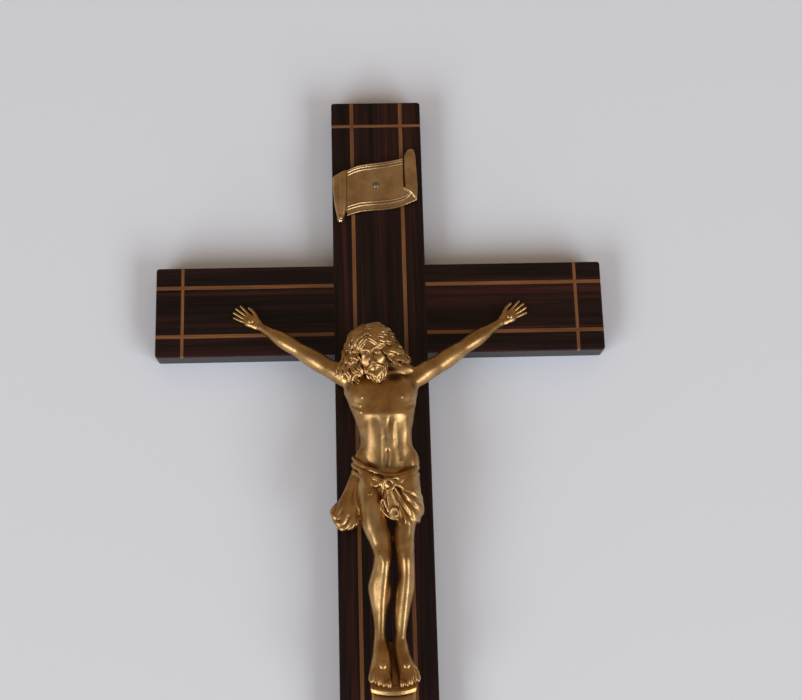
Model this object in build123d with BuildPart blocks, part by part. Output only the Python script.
"""Wall crucifix: a half-lapped cross of dark hardwood with light stringing, a gilt cast figure
nailed to it at hands and feet, a cast footrest, a title scroll on one pin, and a strap hanger
with a swinging loop on the back.

Frame, in millimetres: the origin is on the back of the cross where the two bars cross, +X runs
to the right as the viewer sees it, +Y into the wall and +Z up. The front faces -Y.
"""

import os

from build123d import *

# The cross
cross_height = 250.0
crossbar_length = 133.0
bar_width = 27.5
bar_thickness = 7.5
head_arm_length = 53.0
edge_round = 0.5
corner_round = 0.9
lap_share = 0.5

# Stringing let into the front of both bars
string_width = 1.1
string_depth = 1.2
string_spacing = 15.0
end_string_width = 0.9
end_string_inset = 7.9

# The cast figure: its overall height, its breadth and how far it stands out from the cross
figure_height = 100.0
figure_breadth = 20.0
figure_depth = 20.0
crown_drop = 8.5
hand_nail_reach = 38.3
hand_nail_drop = 3.3
shoulder_level_share = 0.138
shoulder_aside_share = 0.565
shoulder_out_share = 0.35
arm_thickness = 5.6
palm_thickness = 2.0
arm_spigot_diameter = 2.0
arm_spigot_length = 4.0
arm_spigot_clearance = 0.02
head_width = 10.8
head_height = 15.6
head_depth = 12.4
hair_width = 17.0
head_lean = 11.0
head_nod = 24.0

# Nails and pins
nail_shank_diameter = 1.0
nail_head_diameter = 2.3
nail_head_height = 0.7
nail_bite = 4.5
nail_clearance = 0.02
nail_head_round_share = 0.7
hand_nail_seat_share = 0.8
foot_nail_level_share = 0.948
foot_nail_out_share = 0.57
foot_nail_aside_shares = {"left": -0.09, "right": 0.23}
title_pin_diameter = 1.0
title_pin_head_diameter = 2.0
title_pin_head_height = 0.6
title_pin_bite = 4.0

# Footrest under the feet
footrest_width = 12.4
footrest_back_width = 7.0
footrest_bulge = 1.4
footrest_level_share = 0.88
footrest_fall_share = 0.145
footrest_out_share = 0.65
footrest_aside_share = 0.045
footrest_lip = 3.2
footrest_base = 6.0
footrest_tang_diameter = 3.0
footrest_tang_length = 4.5
footrest_round = 0.4

# Title scroll on the head arm
scroll_width = 25.2
scroll_height = 15.2
scroll_slant = 4.6
scroll_thickness = 0.9
scroll_roll_diameter = 3.4
scroll_left_roll_drop = 2.5
scroll_right_roll_rise = 2.6
scroll_below_top = 27.7
scroll_aside = -0.4

# Strap hanger on the back
hanger_below_top = 22.0
hanger_strap_width = 6.0
hanger_strap_length = 11.0
hanger_strap_gauge = 0.7
hanger_wire = 1.3
hanger_running_gap = 0.06
hanger_seat_gap = 0.02
hanger_end_play = 0.15
hanger_loop_bend = 2.4
hanger_loop_overhang = 3.0
hanger_pin_diameter = 1.1
hanger_pin_head_diameter = 2.2
hanger_pin_head_height = 0.5
hanger_pin_bite = 4.0
hanger_pin_end_margin = 2.6
hanger_pin_spacing = 4.5

# Cuts run past what they cut by this much
overrun = 2.0

# Levels and faces that several pieces share
half_width = bar_width / 2
half_bar = crossbar_length / 2
top_level = half_width + head_arm_length
bottom_level = top_level - cross_height
middle_level = (top_level + bottom_level) / 2
front = -bar_thickness
lap_face = front * lap_share
string_line = string_spacing / 2
crown_level = -crown_drop

os.makedirs("parts", exist_ok=True)


def save(piece, name):
    """Labels a finished piece and writes its STEP file."""
    piece.label = name
    export_step(piece, f"parts/{name}.step")


def out_from_cross(distance):
    """Y of a point that stands this far out from the front of the cross."""
    return front - distance


def figure_level(share):
    """Z of a point this share of the figure's height below its crown."""
    return crown_level - share * figure_height


# Cross blank: both bars as one outline, with its outer edges eased
with BuildPart() as cross_blank:
    with BuildSketch(Plane.XZ):
        with Locations((0, middle_level)):
            RectangleRounded(bar_width, cross_height, corner_round)
        RectangleRounded(crossbar_length, bar_width, corner_round)
    extrude(amount=bar_thickness)
    fillet(cross_blank.edges().group_by(Axis.Y)[0], edge_round)
    fillet(cross_blank.edges().filter_by(GeomType.LINE).group_by(Axis.Y)[-1], edge_round)


def strip_of_blank(across, deep, tall, aside, level):
    """A strip of the blank's front, deep from the face, centred at aside and level."""
    with BuildPart() as strip:
        add(cross_blank.part)
        with Locations((aside, front + deep / 2, level)):
            Box(across, deep, tall, mode=Mode.INTERSECT)
    return strip.part


# Long strings of the upright run from end to end
upright_strings = {
    side: strip_of_blank(string_width, string_depth, cross_height, sign * string_line, middle_level)
    for side, sign in (("left", -1), ("right", 1))
}

# Long strings of the crossbar stop against the upright
side_arm = half_bar - half_width
crossbar_strings = {
    f"{row}_{side}": strip_of_blank(side_arm, string_depth, string_width,
                                    sign * (half_width + side_arm / 2), lift * string_line)
    for row, lift in (("upper", 1), ("lower", -1))
    for side, sign in (("left", -1), ("right", 1))
}

# End strings cross each arm near its end and are cut by the long strings
end_bars = {
    "top": (bar_width, end_string_width, 0, top_level - end_string_inset),
    "bottom": (bar_width, end_string_width, 0, bottom_level + end_string_inset),
    "left": (end_string_width, bar_width, -half_bar + end_string_inset, 0),
    "right": (end_string_width, bar_width, half_bar - end_string_inset, 0),
}
end_strings = {}
for end, (across, tall, aside, level) in end_bars.items():
    cutters = upright_strings if end in ("top", "bottom") else crossbar_strings
    strip = strip_of_blank(across, string_depth, tall, aside, level)
    with BuildPart() as end_string:
        add(strip)
        add(list(cutters.values()), mode=Mode.SUBTRACT)
    end_strings[end] = end_string.part

for side, strip in upright_strings.items():
    save(strip, f"upright_string_{side}")
for place, strip in crossbar_strings.items():
    save(strip, f"crossbar_string_{place}")
for end, strip in end_strings.items():
    save(strip, f"end_string_{end}")


# Figure tables. Each ring is level, aside, half width, out and half depth: level is a share of the
# figure's height below the crown, the next two of its breadth, the last two of its depth.
torso_ring_shares = (
    (0.110, -0.04, 0.15, 0.42, 0.140),
    (0.135, -0.03, 0.32, 0.39, 0.190),
    (0.165, -0.02, 0.52, 0.37, 0.235),
    (0.205, -0.01, 0.50, 0.39, 0.285),
    (0.245, 0.00, 0.45, 0.39, 0.290),
    (0.295, 0.02, 0.38, 0.37, 0.260),
    (0.335, 0.03, 0.37, 0.35, 0.245),
    (0.375, 0.02, 0.41, 0.34, 0.260),
    (0.415, 0.02, 0.44, 0.32, 0.280),
    (0.460, 0.02, 0.45, 0.31, 0.285),
)
left_leg_ring_shares = (
    (0.430, -0.19, 0.22, 0.31, 0.260),
    (0.500, -0.17, 0.20, 0.37, 0.245),
    (0.565, -0.16, 0.19, 0.43, 0.220),
    (0.615, -0.10, 0.15, 0.48, 0.190),
    (0.660, -0.06, 0.12, 0.51, 0.165),
    (0.695, -0.09, 0.13, 0.46, 0.155),
    (0.740, -0.11, 0.16, 0.41, 0.165),
    (0.790, -0.11, 0.13, 0.37, 0.140),
    (0.835, -0.12, 0.09, 0.34, 0.110),
    (0.890, -0.11, 0.09, 0.33, 0.105),
    (0.925, -0.11, 0.11, 0.36, 0.130),
)
right_leg_ring_shares = (
    (0.430, 0.21, 0.22, 0.31, 0.260),
    (0.500, 0.24, 0.20, 0.37, 0.240),
    (0.565, 0.30, 0.16, 0.43, 0.210),
    (0.615, 0.28, 0.13, 0.47, 0.185),
    (0.660, 0.27, 0.11, 0.50, 0.165),
    (0.705, 0.26, 0.11, 0.45, 0.155),
    (0.750, 0.23, 0.13, 0.40, 0.165),
    (0.790, 0.20, 0.12, 0.37, 0.145),
    (0.835, 0.18, 0.10, 0.34, 0.110),
    (0.890, 0.15, 0.09, 0.33, 0.105),
    (0.925, 0.16, 0.11, 0.36, 0.130),
)
left_foot_ring_shares = (
    (0.885, -0.11, 0.08, 0.34, 0.090),
    (0.915, -0.12, 0.12, 0.39, 0.140),
    (0.955, -0.13, 0.15, 0.48, 0.140),
    (0.985, -0.13, 0.17, 0.57, 0.100),
    (1.000, -0.12, 0.14, 0.61, 0.060),
)
right_foot_ring_shares = (
    (0.885, 0.16, 0.08, 0.34, 0.090),
    (0.915, 0.19, 0.12, 0.39, 0.140),
    (0.955, 0.24, 0.15, 0.48, 0.140),
    (0.985, 0.27, 0.16, 0.57, 0.100),
    (1.000, 0.27, 0.13, 0.61, 0.060),
)
wrap_ring_shares = (
    (0.385, 0.02, 0.43, 0.32, 0.300),
    (0.420, 0.02, 0.47, 0.30, 0.330),
    (0.470, 0.01, 0.50, 0.30, 0.350),
    (0.520, 0.02, 0.50, 0.31, 0.340),
    (0.555, 0.04, 0.45, 0.33, 0.280),
)
left_flap_ring_shares = (
    (0.385, -0.32, 0.10, 0.30, 0.150),
    (0.435, -0.40, 0.13, 0.30, 0.180),
    (0.495, -0.51, 0.18, 0.31, 0.190),
    (0.535, -0.57, 0.22, 0.32, 0.190),
    (0.565, -0.61, 0.16, 0.33, 0.150),
    (0.580, -0.62, 0.07, 0.33, 0.080),
)
right_fold_ring_shares = (
    (0.395, 0.36, 0.10, 0.34, 0.180),
    (0.455, 0.40, 0.11, 0.35, 0.220),
    (0.515, 0.43, 0.12, 0.36, 0.230),
    (0.550, 0.44, 0.09, 0.36, 0.180),
    (0.565, 0.43, 0.05, 0.36, 0.100),
)
knot_share = (0.463, 0.04, 0.10, 0.69, 0.100)

# Head rings: rise, half width, half depth and forward set, as shares of the head's height, width,
# depth and depth. The hair rings use the hair's width instead of the head's.
head_centre_shares = (0.078, -0.14, 0.58)
head_ring_shares = (
    (-0.52, 0.12, 0.10, 0.22),
    (-0.40, 0.28, 0.27, 0.14),
    (-0.20, 0.43, 0.42, 0.05),
    (0.00, 0.49, 0.50, 0.00),
    (0.20, 0.50, 0.52, -0.02),
    (0.38, 0.40, 0.42, -0.04),
    (0.48, 0.20, 0.20, -0.04),
)
hair_ring_shares = (
    (-0.62, 0.40, 0.18, -0.30),
    (-0.48, 0.50, 0.28, -0.28),
    (-0.18, 0.47, 0.40, -0.20),
    (0.14, 0.44, 0.48, -0.12),
    (0.40, 0.33, 0.46, -0.06),
    (0.54, 0.15, 0.24, -0.05),
)

# Arm rings: share of the way from shoulder to nail, half across and half deep as shares of the
# arm's thickness, and how deep the hand is as a share of the palm's thickness past the wrist
arm_ring_shares = (
    (0.00, 0.47, 0.52),
    (0.20, 0.49, 0.52),
    (0.38, 0.42, 0.44),
    (0.52, 0.37, 0.39),
    (0.64, 0.38, 0.37),
    (0.78, 0.28, 0.26),
    (0.87, 0.23, 0.20),
)
hand_ring_shares = (
    (0.85, 0.23, 0.50),
    (0.93, 0.33, 0.52),
    (1.02, 0.40, 0.50),
    (1.10, 0.36, 0.42),
    (1.17, 0.24, 0.34),
)
shoulder_ring_shares = (
    (-0.26, 0.40, 0.46),
    (-0.12, 0.46, 0.52),
    (0.00, 0.47, 0.52),
)
thumb_ring_shares = (
    (0.92, 0.20, 0.16, 0.30),
    (1.00, 0.46, 0.15, 0.30),
    (1.07, 0.58, 0.10, 0.24),
)


def figure_ring(shares):
    """Level, aside, half width, out and half depth of a figure ring in millimetres."""
    level, aside, half_across, out, half_deep = shares
    return (figure_level(level), aside * figure_breadth, half_across * figure_breadth,
            out_from_cross(out * figure_depth), half_deep * figure_depth)


def ringed(ring_shares):
    """A limb or fold lofted through level elliptical rings."""
    with BuildPart() as limb:
        for level, aside, half_across, deep_place, half_deep in map(figure_ring, ring_shares):
            with BuildSketch(Plane.XY.offset(level)):
                with Locations((aside, deep_place)):
                    Ellipse(half_across, half_deep)
        loft()
    return limb.part


def head_loft(ring_shares, width):
    """Head or hair lofted through rings square to the leaning, nodding head."""
    level_share, aside_share, out_share = head_centre_shares
    centre = Location((aside_share * figure_breadth, out_from_cross(out_share * figure_depth),
                       figure_level(level_share)), (head_nod, -head_lean, 0))
    with BuildPart() as head:
        for rise, half_across, half_deep, forward in ring_shares:
            with BuildSketch(Plane(centre).offset(rise * head_height)):
                with Locations((0, -forward * head_depth)):
                    Ellipse(half_across * width, half_deep * head_depth)
        loft()
    return head.part


def driven_pin(x, z, seat, outward, radius, head_radius, head_height, length):
    """A domed pin driven along Y: its head sits on the plane y = seat, on the outward side."""
    with BuildPart() as pin:
        with BuildSketch(Plane.XZ.offset(-seat)):
            with Locations((x, z)):
                Circle(head_radius)
        extrude(amount=-outward * head_height)
        crown = pin.faces().sort_by(Axis.Y)[0 if outward < 0 else -1]
        fillet(crown.edges(), head_height * nail_head_round_share)
        with BuildSketch(Plane.XZ.offset(-seat)):
            with Locations((x, z)):
                Circle(radius)
        extrude(amount=outward * length)
    return pin.part


def pin_room(x, z, seat, outward, radius, head_radius, head_height, length):
    """What a pin needs cut away: its hole, and a flat seat with room above it for its head."""
    with BuildPart() as room:
        with BuildSketch(Plane.XZ.offset(-seat)):
            with Locations((x, z)):
                Circle(head_radius + nail_clearance)
        extrude(amount=-outward * (head_height + overrun))
        with BuildSketch(Plane.XZ.offset(-seat)):
            with Locations((x, z)):
                Circle(radius + nail_clearance)
        extrude(amount=outward * (length + nail_clearance))
    return room.part


# Where each pin goes: x, z, seat, outward side, radius, head radius, head height, length
nail_sizes = (nail_shank_diameter / 2, nail_head_diameter / 2, nail_head_height)
title_sizes = (title_pin_diameter / 2, title_pin_head_diameter / 2, title_pin_head_height)
strap_sizes = (hanger_pin_diameter / 2, hanger_pin_head_diameter / 2, hanger_pin_head_height)
hand_nail_seat = palm_thickness * hand_nail_seat_share
foot_nail_seat = figure_depth * foot_nail_out_share
scroll_level = top_level - scroll_below_top
hanger_level = top_level - hanger_below_top
hanger_pin_levels = {
    "upper": hanger_level + hanger_strap_length - hanger_pin_end_margin,
    "lower": hanger_level + hanger_strap_length - hanger_pin_end_margin - hanger_pin_spacing,
}
sides = {"left": -1, "right": 1}
pins = {}
for side, sign in sides.items():
    pins[f"hand_nail_{side}"] = (sign * hand_nail_reach, -hand_nail_drop,
                                 out_from_cross(hand_nail_seat), -1, *nail_sizes,
                                 hand_nail_seat + nail_bite)
    pins[f"foot_nail_{side}"] = (foot_nail_aside_shares[side] * figure_breadth,
                                 figure_level(foot_nail_level_share),
                                 out_from_cross(foot_nail_seat), -1, *nail_sizes,
                                 foot_nail_seat + nail_bite)
pins["title_pin"] = (scroll_aside, scroll_level, out_from_cross(scroll_thickness), -1, *title_sizes,
                     scroll_thickness + title_pin_bite)
for row, level in hanger_pin_levels.items():
    pins[f"hanger_pin_{row}"] = (0, level, hanger_strap_gauge, 1, *strap_sizes,
                                 hanger_strap_gauge + hanger_pin_bite)
pin_rooms = {name: pin_room(*place) for name, place in pins.items()}
for name, place in pins.items():
    save(driven_pin(*place), name)


# Footrest: a cast wedge with a rounded front, narrower towards the cross, its top sloped like the
# soles, with a tang into the upright
footrest_aside = footrest_aside_share * figure_breadth
footrest_depth = footrest_out_share * figure_depth
footrest_fall = footrest_fall_share * figure_height
footrest_back = figure_level(footrest_level_share)
rim_level = footrest_back - footrest_fall
rim_side = out_from_cross(footrest_depth - footrest_bulge)
top_slope = Plane((0, front, footrest_back), x_dir=(1, 0, 0), z_dir=(0, -footrest_fall, footrest_depth))
under_slope = Plane((0, front, rim_level - footrest_base), x_dir=(1, 0, 0),
                    z_dir=(0, footrest_lip - footrest_base, -footrest_depth))
with BuildPart() as footrest:
    with BuildSketch(Plane.XY.offset(rim_level - footrest_base)):
        with BuildLine():
            ThreePointArc(
                (footrest_aside - footrest_width / 2, rim_side),
                (footrest_aside, out_from_cross(footrest_depth)),
                (footrest_aside + footrest_width / 2, rim_side),
            )
            Polyline(
                (footrest_aside + footrest_width / 2, rim_side),
                (footrest_aside + footrest_back_width / 2, front),
                (footrest_aside - footrest_back_width / 2, front),
                (footrest_aside - footrest_width / 2, rim_side),
            )
        make_face()
    extrude(amount=footrest_fall + footrest_base)
    split(bisect_by=top_slope, keep=Keep.BOTTOM)
    split(bisect_by=under_slope, keep=Keep.BOTTOM)
    rim = footrest.faces().filter_by(GeomType.CYLINDER).edges().sort_by(Axis.Z)[-1]
    fillet(rim, footrest_round)
    with BuildSketch(Plane.XZ.offset(-front)):
        with Locations((footrest_aside, rim_level)):
            Circle(footrest_tang_diameter / 2)
    extrude(amount=-footrest_tang_length)
    add([pin_rooms["foot_nail_left"], pin_rooms["foot_nail_right"]], mode=Mode.SUBTRACT)
save(footrest.part, "footrest")


def arm_plane(side_sign, along):
    """Plane square to an arm, this share of the way from its shoulder to its nail."""
    shoulder = Vector(side_sign * shoulder_aside_share * figure_breadth,
                      out_from_cross(shoulder_out_share * figure_depth),
                      figure_level(shoulder_level_share))
    palm = Vector(side_sign * hand_nail_reach, out_from_cross(palm_thickness / 2), -hand_nail_drop)
    reach = palm - shoulder
    across = Vector(0, 1, 0).cross(reach)
    return Plane(shoulder + reach * along, x_dir=across, z_dir=reach)


def arm_loft(side_sign, ring_shares, deep_size):
    """A stretch of arm or hand through rings square to it."""
    with BuildPart() as stretch:
        for along, half_across, half_deep in ring_shares:
            with BuildSketch(arm_plane(side_sign, along)):
                Ellipse(half_across * arm_thickness, half_deep * deep_size)
        loft()
    return stretch.part


def thumb_loft(side_sign):
    """The thumb, set off from the hand's upper edge."""
    with BuildPart() as thumb:
        for along, offset_share, half_across, half_deep in thumb_ring_shares:
            with BuildSketch(arm_plane(side_sign, along)):
                with Locations((-side_sign * offset_share * arm_thickness, 0)):
                    Ellipse(half_across * arm_thickness, half_deep * palm_thickness)
        loft()
    return thumb.part


def spigot(side_sign, clearance):
    """The arm's round spigot, or its socket where it has clearance."""
    with BuildPart() as peg:
        with BuildSketch(arm_plane(side_sign, 0)):
            Circle(arm_spigot_diameter / 2 + clearance)
        extrude(amount=-arm_spigot_length - clearance)
    return peg.part


# Arms: cast apart from the body, each with a spigot for the shoulder and a hand flat on the crossbar
arms = {}
for side, sign in sides.items():
    stretches = [
        arm_loft(sign, arm_ring_shares, arm_thickness),
        arm_loft(sign, hand_ring_shares, palm_thickness),
        thumb_loft(sign),
        spigot(sign, 0),
    ]
    with BuildPart() as arm:
        add(stretches)
        with BuildSketch(Plane.XZ.offset(-front)):
            Rectangle(crossbar_length, crossbar_length)
        extrude(amount=-figure_depth, mode=Mode.SUBTRACT)
        add(pin_rooms[f"hand_nail_{side}"], mode=Mode.SUBTRACT)
    arms[side] = arm.part
    save(arm.part, f"corpus_arm_{side}")


# Body: trunk, head, loincloth, legs and feet in one casting, flat where it lies on the cross and
# the footrest, with a socket in each shoulder
knot_level, knot_aside, knot_radius, knot_out, _ = figure_ring(knot_share)
body_masses = [ringed(ring_shares) for ring_shares in (
    torso_ring_shares,
    left_leg_ring_shares,
    right_leg_ring_shares,
    left_foot_ring_shares,
    right_foot_ring_shares,
    wrap_ring_shares,
    left_flap_ring_shares,
    right_fold_ring_shares,
)]
body_masses += [head_loft(head_ring_shares, head_width), head_loft(hair_ring_shares, hair_width)]
body_masses += [arm_loft(sign, shoulder_ring_shares, arm_thickness) for sign in sides.values()]
sockets = [spigot(sign, arm_spigot_clearance) for sign in sides.values()]
with BuildPart() as corpus_body:
    add(body_masses)
    with Locations((knot_aside, knot_out, knot_level)):
        Sphere(knot_radius)
    with BuildSketch(Plane.XZ.offset(-front)):
        with Locations((0, crown_level)):
            Rectangle(cross_height, cross_height)
    extrude(amount=-figure_depth, mode=Mode.SUBTRACT)
    add(footrest.part, mode=Mode.SUBTRACT)
    add([*arms.values(), *sockets], mode=Mode.SUBTRACT)
    add([pin_rooms["foot_nail_left"], pin_rooms["foot_nail_right"]], mode=Mode.SUBTRACT)
save(corpus_body.part, "corpus_body")


# Upright: one length from top to bottom, halved from behind where the crossbar passes
upright_pins = ("foot_nail_left", "foot_nail_right", "title_pin", "hanger_pin_upper", "hanger_pin_lower")
with BuildPart() as upright:
    add(cross_blank.part)
    with Locations((0, front / 2, middle_level)):
        Box(bar_width, bar_thickness, cross_height, mode=Mode.INTERSECT)
    with Locations((0, lap_face / 2, 0)):
        Box(bar_width, -lap_face, bar_width, mode=Mode.SUBTRACT)
    add([*upright_strings.values(), end_strings["top"], end_strings["bottom"]], mode=Mode.SUBTRACT)
    add([pin_rooms[name] for name in upright_pins], mode=Mode.SUBTRACT)
    add(footrest.part, mode=Mode.SUBTRACT)
save(upright.part, "upright")


# Crossbar: halved from the front where the upright passes over it
with BuildPart() as crossbar:
    add(cross_blank.part)
    with Locations((0, front / 2, 0)):
        Box(crossbar_length, bar_thickness, bar_width, mode=Mode.INTERSECT)
    with Locations((0, (front + lap_face) / 2, 0)):
        Box(bar_width, lap_face - front, bar_width, mode=Mode.SUBTRACT)
    add([*crossbar_strings.values(), end_strings["left"], end_strings["right"]], mode=Mode.SUBTRACT)
    add([pin_rooms["hand_nail_left"], pin_rooms["hand_nail_right"]], mode=Mode.SUBTRACT)
save(crossbar.part, "crossbar")


# Title scroll: a slanting cast sheet between two rolled ends, bare, on one pin
scroll_half = (scroll_width - scroll_roll_diameter) / 2
scroll_low = -(scroll_height + scroll_slant) / 2
scroll_high = (scroll_height - scroll_slant) / 2
roll_spans = {
    -1: (scroll_low - scroll_left_roll_drop, scroll_high),
    1: (-scroll_high, -scroll_low + scroll_right_roll_rise),
}
with BuildPart() as title_scroll:
    with BuildSketch(Plane.XZ.offset(-front)):
        with Locations((scroll_aside, scroll_level)):
            Polygon(
                (-scroll_half, scroll_low),
                (scroll_half, -scroll_high),
                (scroll_half, -scroll_low),
                (-scroll_half, scroll_high),
                align=None,
            )
    extrude(amount=scroll_thickness)
    for sign, (low, high) in roll_spans.items():
        with Locations((scroll_aside + sign * scroll_half, out_from_cross(scroll_roll_diameter / 2),
                        scroll_level + (low + high) / 2)):
            Cylinder(scroll_roll_diameter / 2, high - low)
    add(pin_rooms["title_pin"], mode=Mode.SUBTRACT)
save(title_scroll.part, "title_scroll")


# Hanger strap: one leaf pinned to the back, its lower end rolled into a barrel for the loop
barrel_radius = hanger_wire / 2 + hanger_running_gap + hanger_strap_gauge
hanger_axis = barrel_radius + hanger_seat_gap
with BuildPart() as hanger_strap:
    with BuildSketch(Plane.XZ):
        with Locations((0, hanger_level + hanger_strap_length / 2)):
            Rectangle(hanger_strap_width, hanger_strap_length)
    extrude(amount=-hanger_strap_gauge)
    with BuildSketch(Plane.YZ):
        with Locations((hanger_axis, hanger_level)):
            Circle(barrel_radius)
    extrude(amount=hanger_strap_width / 2, both=True)
    with BuildSketch(Plane.YZ):
        with Locations((hanger_axis, hanger_level)):
            Circle(hanger_wire / 2 + hanger_running_gap)
    extrude(amount=hanger_strap_width, both=True, mode=Mode.SUBTRACT)
    add([pin_rooms["hanger_pin_upper"], pin_rooms["hanger_pin_lower"]], mode=Mode.SUBTRACT)
save(hanger_strap.part, "hanger_strap")


# Hanger loop: round wire bent to a long loop, longer than the strap so that it also folds upwards
loop_half = hanger_strap_width / 2 + hanger_end_play + hanger_loop_bend
loop_length = hanger_strap_length + hanger_loop_overhang
with BuildPart() as hanger_loop:
    with BuildLine(Plane.XZ.offset(-hanger_axis)) as loop_path:
        FilletPolyline(
            (loop_half, hanger_level),
            (loop_half, hanger_level - loop_length),
            (-loop_half, hanger_level - loop_length),
            (-loop_half, hanger_level),
            radius=hanger_loop_bend,
            close=True,
        )
    with BuildSketch(Plane(loop_path.line @ 0, z_dir=loop_path.line % 0)):
        Circle(hanger_wire / 2)
    sweep(path=loop_path.line)
save(hanger_loop.part, "hanger_loop")
